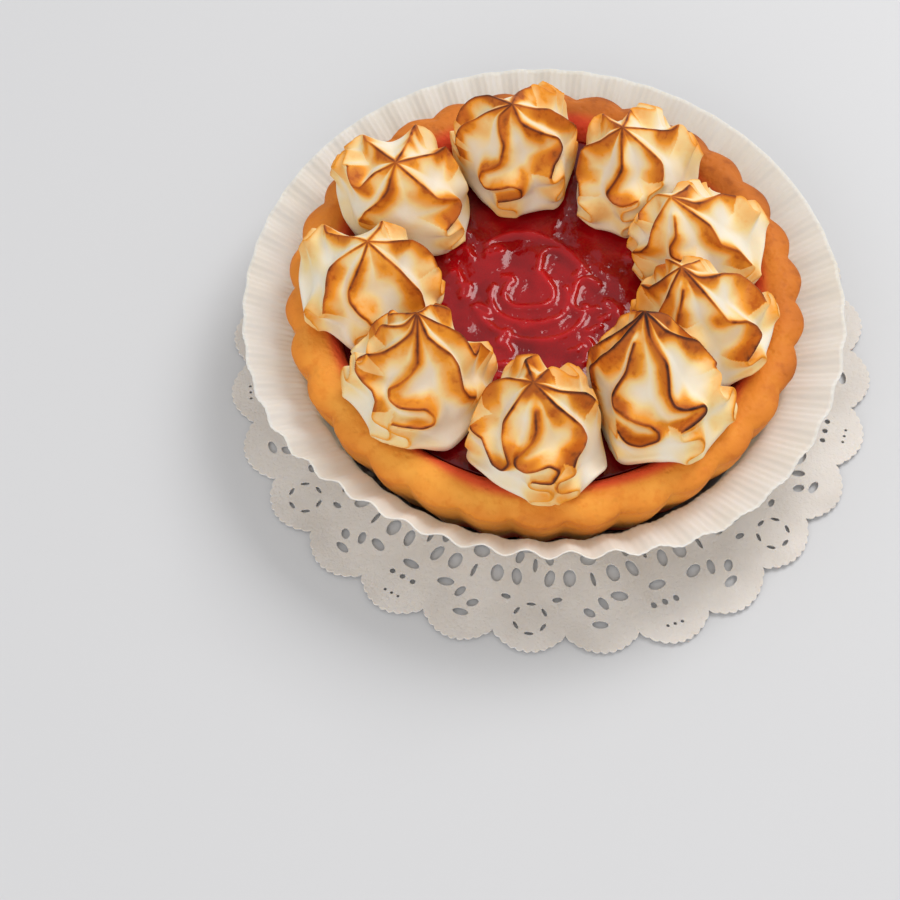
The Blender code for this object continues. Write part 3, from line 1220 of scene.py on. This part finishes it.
        depth = np.minimum(self.ridge_depth, self.ridge_share * radius)
        depth = depth * (self.base_depth + (1 - self.base_depth) * smoothstep(0.0, 0.3, level))
        rounded = np.sqrt(distance**2 + self.crest_round**2)
        valley = np.exp(-self.crest_round / self.ridge_width) - np.exp(-rounded / self.ridge_width)
        seed = rosette.number
        wobble = layered(points, ((0.30, 5.0, seed), (0.07, 1.6, seed + 20)))
        moved = points + normals_of(mesh) * ((wobble - depth * valley) * side)[:, None]
        free = 0.6 * smoothstep(0.5, 1.5, distance) * (level > 1e-6)
        moved = softened(mesh, moved, free, self.valley_rounds)
        level = np.clip(moved[:, 2] / self.nominal_height, 0, None)
        flat = rosette.centre + moved[:, :2] * MM
        lean = np.array([rosette.lean_x, rosette.lean_y]) * MM
        flat = self.squeezed(flat + np.outer(level**self.lean_power, lean), rosette)
        seat = self.plan.seat(flat[:, 0], flat[:, 1])
        top = self.plan.rim_z + rosette.peak * MM
        finished = np.stack([flat[:, 0], flat[:, 1], seat + (top - seat) * level], axis=1)
        paint(mesh, self.finish.toast, self.toasted(mesh, points, crests, rosette))
        move_points(mesh, self.plan.placed(finished))
        place(f"rosette_{rosette.number}", mesh, material)

    def toasted(
        self, mesh: bpy.types.Mesh, points: np.ndarray, crests: np.ndarray, rosette: Rosette
    ) -> np.ndarray:
        """How far each point is torched, from 0, cream, to 1, burnt.

        Args:
            mesh: The mound's mesh.
            points: Points of the smooth mound, in millimetres.
            crests: Each point's distance to the nearest ridge, that ridge's toasting and its side.
            rosette: The rosette.

        Returns:
            One number for each point.
        """
        distance, strength, facing = crests.T
        level = points[:, 2] / self.nominal_height
        low = smoothstep(0.0, 0.25, level)
        seed = rosette.number * 3.0
        patch = smoothstep(-0.45, 0.25, clouds(points, 5.0, seed))
        along = smoothstep(-0.5, 0.3, clouds(points, 6.0, seed + 1))
        line = np.exp(-((distance / self.crest_width) ** 2))
        line = line * (self.crest_toast + self.crest_char * along * rosette.char) * (0.3 + 0.7 * low)
        reach = 0.7 + (0.9 + 2.2 * patch) * smoothstep(-0.35, 0.55, facing)
        flank = self.flank_toast * np.exp(-((distance / reach) ** self.flank_fade)) * (0.45 + 0.55 * patch)
        flank = np.minimum(flank * (0.15 + 0.85 * low) * rosette.amber, self.darkest_flank)
        flank = softened(mesh, flank[:, None], np.full(len(flank), 0.5), self.flank_rounds)[:, 0]
        blush = self.blush * smoothstep(-0.1, 0.5, clouds(points, 8.0, seed + 2)) * rosette.amber
        toast = (line**3 + flank**3) ** (1 / 3) * (0.25 + 0.75 * strength)
        return np.clip(toast + blush, 0, 1)

    def build(self) -> None:
        """Builds every rosette with one shared material."""
        material = self.finish.material()
        for rosette in self.rosettes:
            self.build_one(rosette, material)


@dataclass(frozen=True)
class PaperCase:
    """The pleated case: a round base and a wall that follows the shell, then flares.

    The flare is steeper and more deeply waved at the front, where it hugs the tart.
    """

    plan: TartPlan
    finish: ThinPaper = ThinPaper(
        name="case_paper",
        pale=(0.73, 0.675, 0.605),
        dull=(0.69, 0.625, 0.54),
        fibre_depth=0.04 * MM,
        see_through=1.0 * MM,
    )
    thickness: float = 0.16 * MM
    base_radius: float = 44.55 * MM
    wall_length: float = 24.8 * MM
    knee: float = 0.56
    knee_round: float = 0.08
    low_slope: float = math.radians(73.0)
    flare_slope: float = math.radians(28.5)
    front_rise: float = math.radians(21.0)
    front_width: float = math.radians(38.0)
    front_angle: float = math.radians(-102.0)
    flare_unevenness: float = 0.04
    waves: int = 48
    wave_drift: float = 5.5
    widest_wave: float = math.radians(140.0)
    pleats_per_wave: int = 5
    wave_height: float = 0.75 * MM
    wave_size: tuple[float, float, float] = (0.70, 0.35, 0.25)
    pleat_height: float = 0.11 * MM
    front_smoothing: float = 0.8
    pleat_columns: int = 5
    rows: int = 30

    def folded(self, points: np.ndarray) -> np.ndarray:
        """Folds the flat disc's border up into the pleated wall.

        Args:
            points: Points of the flat disc.

        Returns:
            The same points on the finished case.
        """
        radius, angle = polar(points)
        up = np.clip((radius - self.base_radius) / self.wall_length, 0, 1)
        front = np.exp(-((turn_from(self.front_angle, angle) / self.front_width) ** 4))
        uneven = self.flare_unevenness * on_circle(angle, 12.0, 9)
        flare = self.flare_slope + self.front_rise * front + uneven * up

        shares = np.linspace(0, 1, 200)
        flared = smoothstep(self.knee - self.knee_round, self.knee + self.knee_round, shares)
        free = np.interp(up, shares, flared.cumsum() * shares[1])
        low = up - free
        out = self.base_radius + self.wall_length * (low * math.cos(self.low_slope) + free * np.cos(flare))
        height = self.base_z + self.wall_length * (low * math.sin(self.low_slope) + free * np.sin(flare))

        lift = self.crimped(points[:, 2] - self.base_z, angle, up, front)
        slope = self.low_slope + (flare - self.low_slope) * np.interp(up, shares, flared)
        bent = smoothstep(0.0, 0.15, up)
        out = out - lift * np.sin(slope) * bent
        height = height + lift * (1 - (1 - np.cos(slope)) * bent)
        wall = radius >= self.base_radius
        out = np.where(wall, out, radius)
        height = np.where(wall, height, points[:, 2])
        return np.stack([out * np.cos(angle), out * np.sin(angle), height], axis=1)

    def crimped(
        self, lift: np.ndarray, angle: np.ndarray, up: np.ndarray, front: np.ndarray
    ) -> np.ndarray:
        """Waves and pleats the wall, more and more towards its upper edge.

        Args:
            lift: How far each point lies above the sheet's underside.
            angle: Their headings.
            up: How far up the wall they are, from 0 to 1.
            front: How far they belong to the steeper front, from 0 to 1.

        Returns:
            The new heights above the smooth wall.
        """
        wander = self.wave_drift * np.sin(angle - self.widest_wave) + 0.7 * on_circle(angle, 14.0, 14)
        usual, uneven, more = self.wave_size
        size = usual + uneven * on_circle(angle, 16.0, 12) + more * front
        wave = self.wave_height * size * np.cos(self.waves * angle + wander) * smoothstep(0.25, 1.0, up)
        pleats = self.waves * self.pleats_per_wave
        pleat = self.pleat_height * (1 - self.front_smoothing * front)
        pleat = pleat * np.cos(pleats * angle + self.pleats_per_wave * wander)
        return lift - wave - pleat * smoothstep(0.05, 0.35, up)

    @property
    def base_z(self) -> float:
        """Height of the case's underside."""
        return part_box("paper_case")[0].z

    def build(self) -> bpy.types.Object:
        """Turns a thin disc and folds its border up.

        Returns:
            The case.
        """
        low, high = self.base_z, self.base_z + self.thickness
        radii = np.linspace(self.base_radius, self.base_radius + self.wall_length, self.rows)
        section = [(0.0, low), *((float(radius), low) for radius in radii)]
        section += [*((float(radius), high) for radius in radii[::-1]), (0.0, high)]
        columns = self.waves * self.pleats_per_wave * self.pleat_columns
        mesh = mesh_of("paper_case_look", turned(section, columns))
        move_points(mesh, self.plan.placed(self.folded(points_of(mesh))))
        return place("paper_case", mesh, self.finish.material())


@dataclass(frozen=True)
class Cut:
    """One oval hole in the lace.

    It has a place, out from the doily's centre and across the scallop's middle line, half-lengths
    along the two and a turn in degrees.
    """

    out: float
    across: float
    long: float
    wide: float
    turn: float = 0.0

    @property
    def mirrored(self) -> "Cut":
        """The same hole on the other side of the middle line."""
        return Cut(self.out, -self.across, self.long, self.wide, -self.turn)

    @property
    def shape(self) -> Matrix:
        """Turns a unit circle into the hole of a scallop that heads along +X."""
        oval = Matrix.Diagonal((self.long, self.wide, 1.0, 1.0))
        return Matrix.Translation((self.out, self.across, 0)) @ (
            Matrix.Rotation(math.radians(self.turn), 4, "Z") @ oval
        )


@dataclass(frozen=True)
class LaceDoily:
    """The lace doily: a repeat of four scallops, holding a ring of cuts, a fan, dots and a fan."""

    finish: ThinPaper = ThinPaper(
        name="doily_paper", pale=(0.78, 0.735, 0.69), dull=(0.66, 0.61, 0.56), fibre_depth=0.16 * MM
    )
    radius: float = 64.0
    thickness: float = 0.38
    scallops: int = 28
    scallop_depth: float = 3.3
    scallop_points: int = 54
    picots: int = 9
    picot_height: float = 0.40
    border: tuple[float, float] = (40.0, 46.0)
    border_lift: float = 0.5
    border_unevenness: float = 0.6
    shift: tuple[float, float] = (0.1, 0.6)
    long_side: float = math.radians(-63.0)
    long_width: float = math.radians(15.0)
    long_by: float = 2.2
    long_from: tuple[float, float] = (50.0, 62.0)
    hub_radius: float = 40.0
    seam_points: int = 12
    first_heading: float = math.radians(-91.8)
    cut_sides: int = 14
    ring_radius: float = 57.3
    ring_size: float = 2.95
    ring_cuts: int = 6
    ring_cut_size: tuple[float, float] = (0.36, 0.88)
    beside_middle: tuple[Cut, ...] = (Cut(48.9, 3.1, 1.85, 0.98, -9), Cut(44.9, 2.8, 1.4, 0.8, 14))
    middle_slit: Cut = Cut(46.4, 0.2, 1.5, 0.45)
    corner: Cut = Cut(53.1, 4.8, 0.55, 0.95, 14)
    dots: tuple[Cut, ...] = (
        Cut(53.3, 0.0, 0.85, 1.7),
        Cut(56.3, 0.0, 0.55, 0.55),
        Cut(56.3, 2.2, 0.55, 0.55),
        Cut(56.3, -2.2, 0.55, 0.55),
        Cut(60.2, 0.0, 0.3, 0.3),
        Cut(60.2, 1.4, 0.3, 0.3),
        Cut(60.2, -1.4, 0.3, 0.3),
    )
    beside_fan: Cut = Cut(48.8, 4.15, 1.85, 1.25, 10)
    fan: tuple[Cut, ...] = (
        Cut(49.6, 0.2, 1.5, 0.42, 6),
        Cut(45.3, 0.0, 1.4, 1.6),
        Cut(53.4, 4.5, 0.92, 1.65, -8),
        Cut(54.5, 1.3, 1.35, 0.75, 28),
        Cut(56.0, -1.6, 1.2, 0.8, 52),
        Cut(58.4, 0.0, 0.75, 1.5, -4),
    )

    def repeat(self) -> list[list[Cut]]:
        """The holes of the four scallops that repeat round the doily.

        Returns:
            Four lists of holes, each placed from its scallop's middle line.
        """
        ring = []
        for number in range(self.ring_cuts):
            turn = number * TAU / self.ring_cuts
            out = self.ring_radius + self.ring_size * math.cos(turn)
            ring.append(Cut(out, self.ring_size * math.sin(turn), *self.ring_cut_size, math.degrees(turn)))
        row = [*self.beside_middle, *(cut.mirrored for cut in self.beside_middle), self.middle_slit]
        ovals = [self.beside_fan, self.beside_fan.mirrored]
        return [
            [*row, *ring, self.corner, self.corner.mirrored],
            [*ovals, *self.fan],
            [*row, *self.dots],
            [*ovals, *(cut.mirrored for cut in self.fan)],
        ]

    def edge(self, heading: float) -> list[tuple[float, float]]:
        """One scallop's outer edge, notch to notch, with its row of tiny picots.

        Args:
            heading: The scallop's middle line, in radians.

        Returns:
            Points of x and y, without the last notch.
        """
        points = []
        for step in range(self.scallop_points):
            share = step / self.scallop_points - 0.5
            arch = 1 - (2 * share) ** 2
            picot = self.picot_height * abs(math.sin(math.pi * self.picots * (share + 0.5)))
            radius = self.radius - self.picot_height - self.scallop_depth * (1 - arch) + picot
            angle = heading + share * TAU / self.scallops
            points.append((radius * math.cos(angle), radius * math.sin(angle)))
        return points

    @property
    def pitch(self) -> float:
        """Angle from one scallop's middle line to the next."""
        return TAU / self.scallops

    def outline(self, count: int) -> list[tuple[float, float]]:
        """The closed outline of one repeat: its scallops, then the seams to both neighbours.

        Args:
            count: How many scallops the repeat has.

        Returns:
            Points in order round it.
        """
        first, last = -0.5 * self.pitch, (count - 0.5) * self.pitch
        notch_radius = self.radius - self.picot_height - self.scallop_depth
        scallops = [point for number in range(count) for point in self.edge(number * self.pitch)]
        rungs = np.linspace(self.hub_radius, notch_radius, self.seam_points).tolist()
        seams = [*((radius, last) for radius in rungs[::-1]), *((radius, first) for radius in rungs[:-1])]
        return scallops + [(radius * math.cos(angle), radius * math.sin(angle)) for radius, angle in seams]

    def sector(self, repeat: list[list[Cut]]) -> bmesh.types.BMesh:
        """Fills one repeat of scallops round its holes.

        Args:
            repeat: The holes of each scallop.

        Returns:
            A new flat bmesh, in millimetres.
        """
        bm = bmesh.new()
        verts = [bm.verts.new((x, y, 0)) for x, y in self.outline(len(repeat))]
        for start, end in zip(verts, verts[1:] + verts[:1]):
            bm.edges.new((start, end))
        for number, cuts in enumerate(repeat):
            heading = Matrix.Rotation(number * self.pitch, 4, "Z")
            for cut in cuts:
                made = bmesh.ops.create_circle(bm, segments=self.cut_sides, radius=1.0)["verts"]
                bmesh.ops.transform(bm, verts=made, matrix=heading @ cut.shape)
        bmesh.ops.triangle_fill(bm, use_beauty=True, edges=bm.edges[:])
        return bm

    def complete(self, bm: bmesh.types.BMesh, repeats: int) -> None:
        """Spins one repeat into the whole sheet, fills its middle and thickens it.

        Args:
            bm: The flat repeat, which becomes the sheet.
            repeats: How many repeats go round the doily.
        """
        bmesh.ops.spin(
            bm,
            geom=bm.verts[:] + bm.edges[:] + bm.faces[:],
            cent=(0, 0, 0),
            axis=(0, 0, 1),
            angle=TAU * (repeats - 1) / repeats,
            steps=repeats - 1,
            use_duplicate=True,
        )
        bmesh.ops.remove_doubles(bm, verts=bm.verts[:], dist=1e-3)
        hub = [vert for vert in bm.verts if vert.co.length < self.hub_radius + 0.01]
        bmesh.ops.contextual_create(bm, geom=hub)
        bmesh.ops.triangulate(bm, faces=bm.faces[:])
        raised = bmesh.ops.extrude_face_region(bm, geom=bm.faces[:])["geom"]
        top = [item for item in raised if isinstance(item, bmesh.types.BMVert)]
        bmesh.ops.translate(bm, vec=(0, 0, self.thickness), verts=top)

    def settled(self, points: np.ndarray) -> np.ndarray:
        """Lifts the border, draws out one side and shifts the sheet to where it lies.

        Args:
            points: Points of the flat sheet, in metres.

        Returns:
            The moved points.
        """
        radius, angle = polar(points)
        lift = smoothstep(self.border[0] * MM, self.border[1] * MM, radius) * self.border_lift * MM
        points[:, 2] += lift * (1 + self.border_unevenness * on_circle(angle, 21.0, 9))
        outer = smoothstep(self.long_from[0] * MM, self.long_from[1] * MM, radius)
        longer = self.long_by * MM * outer * np.exp(-(((angle - self.long_side) / self.long_width) ** 2))
        points[:, :2] *= (1 + longer / radius)[:, None]
        return points + np.array([*self.shift, 0.0]) * MM

    def build(self) -> bpy.types.Object:
        """Makes one repeat of the lace, then the whole sheet, and lays it down.

        Returns:
            The doily.
        """
        repeat = self.repeat()
        bm = self.sector(repeat)
        self.complete(bm, self.scallops // len(repeat))
        bm.transform(Matrix.Rotation(self.first_heading, 4, "Z") @ Matrix.Scale(MM, 4))
        mesh = mesh_of("lace_doily_look", bm)
        mesh.shade_flat()
        move_points(mesh, self.settled(points_of(mesh)))
        return place("lace_doily", mesh, self.finish.material())


@dataclass(frozen=True)
class Studio:
    """The plain floor, the soft lights and the camera at the photograph's angle."""

    plan: TartPlan
    elevation: float = math.radians(56.65)
    roll: float = math.radians(2.74)
    distance: float = 398.0 * MM
    lens: float = 82.7
    frame_shift: tuple[float, float] = (-0.1063, -0.1728)
    sensor: float = 36.0
    floor_colour: Colour = (0.63, 0.63, 0.64)
    floor_size: float = 3.0
    sky: float = 0.64

    def camera(self) -> None:
        """Points the camera at the middle of the rim."""
        data = bpy.data.cameras.new("camera")
        data.lens = self.lens
        data.sensor_width = self.sensor
        data.shift_x, data.shift_y = self.frame_shift
        data.clip_start = 0.01
        camera = new_object("camera", data)
        target = Vector((self.plan.x, self.plan.y, self.plan.rim_z))
        turn = Matrix.Rotation(math.pi / 2 - self.elevation, 4, "X") @ Matrix.Rotation(self.roll, 4, "Z")
        back = Matrix.Translation((0, 0, self.distance))
        camera.matrix_world = Matrix.Translation(target) @ turn @ back
        bpy.context.scene.camera = camera

    def lamp(self, name: str, place_at: tuple[float, float, float], size: float, power: float) -> None:
        """A square soft light aimed at the tart.

        Args:
            name: Name of the light.
            place_at: Where it hangs, in metres.
            size: Length of its side.
            power: Strength in watts.
        """
        data = bpy.data.lights.new(name, "AREA")
        data.size = size
        data.energy = power
        aim = Vector(place_at).to_track_quat("Z", "Y").to_matrix().to_4x4()
        new_object(name, data).matrix_world = Matrix.Translation(place_at) @ aim

    def floor(self) -> None:
        """A wide, plain, pale floor."""
        bm = bmesh.new()
        bmesh.ops.create_grid(bm, x_segments=1, y_segments=1, size=self.floor_size)
        mesh = bpy.data.meshes.new("floor")
        bm.to_mesh(mesh)
        bm.free()
        sheet = Sheet("pale_floor")
        sheet.set({"Roughness": 0.6, "Base Color": (*self.floor_colour, 1.0)})
        mesh.materials.append(sheet.material)
        floor = new_object("floor", mesh)

    def build(self) -> None:
        """Sets the stage."""
        self.camera()
        self.floor()
        self.lamp("key", (0.35, 0.45, 0.70), size=0.45, power=4.2)
        self.lamp("fill", (-0.2, -0.65, 0.45), size=0.6, power=1.7)
        world = bpy.data.worlds.new("soft_sky")
        world.use_nodes = True
        background = world.node_tree.nodes["Background"]
        background.inputs["Color"].default_value = (1.0, 1.0, 1.0, 1.0)
        background.inputs["Strength"].default_value = self.sky
        bpy.context.scene.world = world
        bpy.context.scene.view_settings.view_transform = "Standard"


def ridge(heading: float, *legs: tuple[float, float], start: float = 0.0) -> Ridge:
    """Makes a ridge of its heading and its legs, for the table below."""
    return Ridge(heading, legs, start)


RIDGES = {
    1: (
        ridge(-176, (6, 0), (3, 7), (7, -6), (4, 11), (3, 70)),
        ridge(142, (8.5, -1), (4, 21), (3, 45), (3, 60)),
        ridge(
            -142, (3.5, 0), (6, 33), (4, -2), (5.5, -47), (3, -17), (2, 71), (7, 115), (2, 70), (2, 0),
            (5, -72),
        ),
        ridge(-64, (4, 0), (8.5, 31), (2, -24), (4, -71), (3, -43)),
        ridge(9, (5, 0), (3.5, 14), (5, -18), (5, 13)),
        ridge(96, (7, -3), (4, -18)),
    ),
    2: (
        ridge(-164, (6, 0), (9, -14), (4, 35), (5, 110), (3, 30)),
        ridge(-106, (8.5, 2), (6.5, -24), (2, 45), (1.5, 77), (4, 105)),
        ridge(-43, (10, 2), (4, -40)),
        ridge(16, (8.5, 2), (4, 5), (2.5, 22)),
        ridge(76, (10.5, 2)),
        ridge(128, (6.5, 0), (5, -7)),
    ),
    3: (
        ridge(-144, (7, 0), (6, 8), (3, -23), (4, -39)),
        ridge(149, (6.5, 0), (3, 26), (3, 41), (2, 97)),
        ridge(-92, (5, -4), (3, -29), (2, 4), (2, 50), (3, 96), start=0.10),
        ridge(-46, (8, 3), (4, -23), (4, 29), (4, -5)),
        ridge(6, (4.5, 0), (8.5, 27), (3, -23)),
        ridge(65, (4.5, 0), (3.5, 13)),
    ),
    4: (
        ridge(-164, (7, -2), (3.5, -9), (3.5, -37)),
        ridge(-130, (7.5, -1), (6, -6)),
        ridge(-91, (8, -12), start=0.11),
        ridge(-43, (11.5, 0), (4, 51), (2, 8), (2.5, -21), (6, -72)),
        ridge(-18, (3, 0), (7, 30), (4, 11), (3, -7), (5.5, -77)),
        ridge(60, (6.5, 1)),
    ),
    5: (
        ridge(-174, (3.5, 0), (9, -10), (9.5, -20), (3, 2)),
        ridge(-150, (7, -2), (3.5, -13), (6.5, -21), (5, -29), (2.5, 60), (4, 129)),
        ridge(
            -127, (5.5, 3), (5.5, -20), (1.5, 19), (3, 100), (5.5, 81), (2, 40), (1.5, -8), (3.5, -72),
            (6, -104), start=0.14,
        ),
        ridge(-80, (3.5, 0), (4.5, 20), (4.5, -18), (2, 11), (2, 51), (4, 72), (1, -11), (6.5, -81)),
        ridge(-16, (4, 0), (9.5, 23), (3.5, -19), (3, -113)),
    ),
    6: (
        ridge(-157, (9, 4), (3, 28), (5.5, 32), (2, -26), (2, -95), (5.5, -127), (5, -72)),
        ridge(158, (7, -2), (8, 19)),
        ridge(
            -86, (4.5, -1), (2.5, -21), (4.5, -35), (1.5, 8), (2, 69), (4.5, 108), (2, 50), (3, -35),
            (4, -99), start=0.14,
        ),
        ridge(-34, (5.5, 0), (6, 7), (2, -22), (5, -62), (2, -34)),
        ridge(3, (5, 0), (6, 12), (2.5, -16)),
        ridge(54, (7, 3)),
    ),
    7: (
        ridge(-110, (3, 0), (6.5, -26), (4.5, -34), (2.5, -10), (2, 46), (6, 97), (2, 47), (2, 0)),
        ridge(
            -82, (8, -1), (2, -34), (5, -41), (2, 20), (2, 69), (5, 101), (2, 43), (1.5, -16), (2.5, -59),
            (6, -87),
        ),
        ridge(-54, (4, 0), (5.5, 22), (2, -6), (4, -24), (2.5, 21), (3.5, 42)),
        ridge(-155, (3, 0), (7, -28), (2, 60)),
    ),
    8: (
        ridge(144, (5, 0), (6.5, 6), (3.5, -30)),
        ridge(-156, (7, 0), (2.5, 15), (5.5, 38), (5, 17)),
        ridge(-87, (10.5, -4), (2, 22), (5.5, 46), (3.5, 27)),
        ridge(-34, (12.5, 1), (3, 4), (5.5, -12)),
        ridge(22, (5, 0), (6.5, 8), (5.5, -24), (3, -48)),
        ridge(70, (6.5, 0), (4.5, 10)),
    ),
    9: (
        ridge(-158, (5, 0), (4.5, 13), (2, -43), (5, -80)),
        ridge(-110, (6.5, 1), (2, -19), (7, -17), (5, -11)),
        ridge(-45, (11, 2), (5, 39), (1.5, -29), (2, -69), (4.5, -77)),
        ridge(26, (9.5, 2), (6, 19), (5, -60)),
        ridge(74, (9, 1), (5.5, 6), (4, 0)),
        ridge(124, (11.5, 2), (3.5, -14)),
    ),
}

ROSETTES = (
    Rosette(1, -6.7, 32.0, 14.6, -1.5, -1.2, 19.5, 3.4, RIDGES[1], char=0.85, amber=1.45),
    Rosette(2, 16.5, 28.0, 14.6, -3.3, -0.4, 18.0, 2.9, RIDGES[2], char=0.8, amber=1.15),
    Rosette(3, 29.8, 12.4, 14.3, -7.0, 0.2, 16.5, 2.8, RIDGES[3], char=0.8, amber=1.15),
    Rosette(4, 30.7, -7.2, 14.4, -6.2, 2.0, 19.5, 2.7, RIDGES[4], char=0.8, amber=1.25),
    Rosette(5, 21.6, -24.4, 15.4, -3.8, 6.0, 24.0, 2.4, RIDGES[5], char=1.4, amber=1.35),
    Rosette(6, 0.3, -32.6, 15.6, -1.7, 0.2, 21.0, 3.0, RIDGES[6], char=1.15, amber=1.2),
    Rosette(7, -22.0, -23.2, 15.2, -0.7, 2.8, 23.0, 2.5, RIDGES[7], char=0.75),
    Rosette(8, -34.2, -1.0, 15.0, 0.8, -0.6, 17.5, 2.9, RIDGES[8], char=0.65, amber=1.1),
    Rosette(9, -28.6, 19.6, 15.0, -1.2, -1.6, 16.0, 3.8, RIDGES[9], char=0.75, amber=1.2),
)


def main() -> None:
    """Loads the frame, builds each piece in turn and sets the stage."""
    logging.basicConfig(level=logging.INFO, format="%(name)s: %(message)s")
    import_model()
    plan = TartPlan.from_frame()
    LaceDoily().build()
    PaperCase(plan).build()
    PastryShell(plan).build()
    BerryFilling(plan).build()
    RosetteRing(plan, ROSETTES).build()
    Studio(plan).build()


if __name__ == "__main__":
    main()
